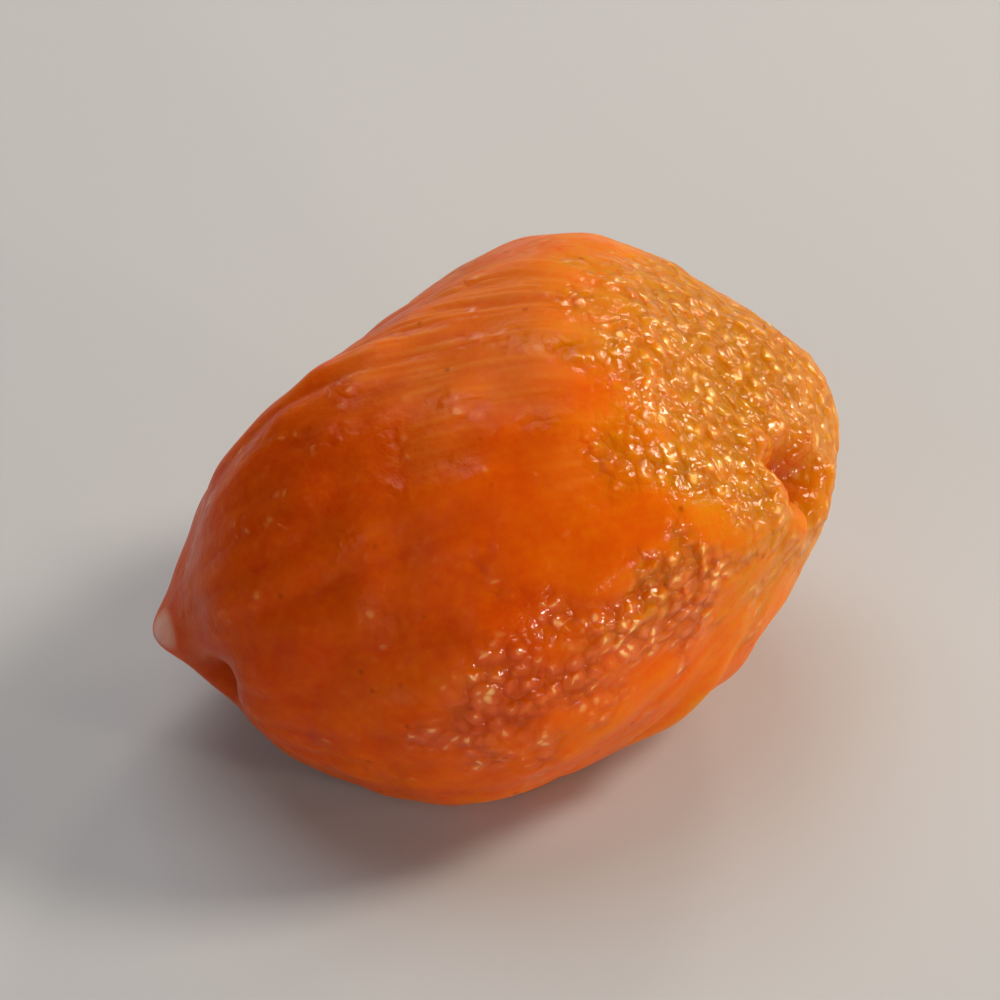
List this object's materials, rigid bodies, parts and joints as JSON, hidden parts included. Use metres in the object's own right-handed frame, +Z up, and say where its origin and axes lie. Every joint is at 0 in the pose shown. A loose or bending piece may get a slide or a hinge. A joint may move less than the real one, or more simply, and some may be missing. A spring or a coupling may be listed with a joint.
{
  "type": "dried plum",
  "caption": "Whole dried plum, plump and soft, with a small pointed tip, a puckered stem hollow, light wrinkles and a flat spot to lie on.",
  "frame": {"origin": "on the surface that the fruit lies on, below the middle of its bounding box", "axes": "+X along the fruit from its pointed tip to its stem end, +Z up, -Y towards the side that shows the stem hollow"},
  "size_m": [0.0332, 0.0268, 0.0228],
  "materials": {
    "plum_flesh": "translucent cooked and dried fruit flesh with a sticky sugar gloss"
  },
  "bodies": {
    "root": {"dried_plum": "plum_flesh"}
  },
  "joints": []
}
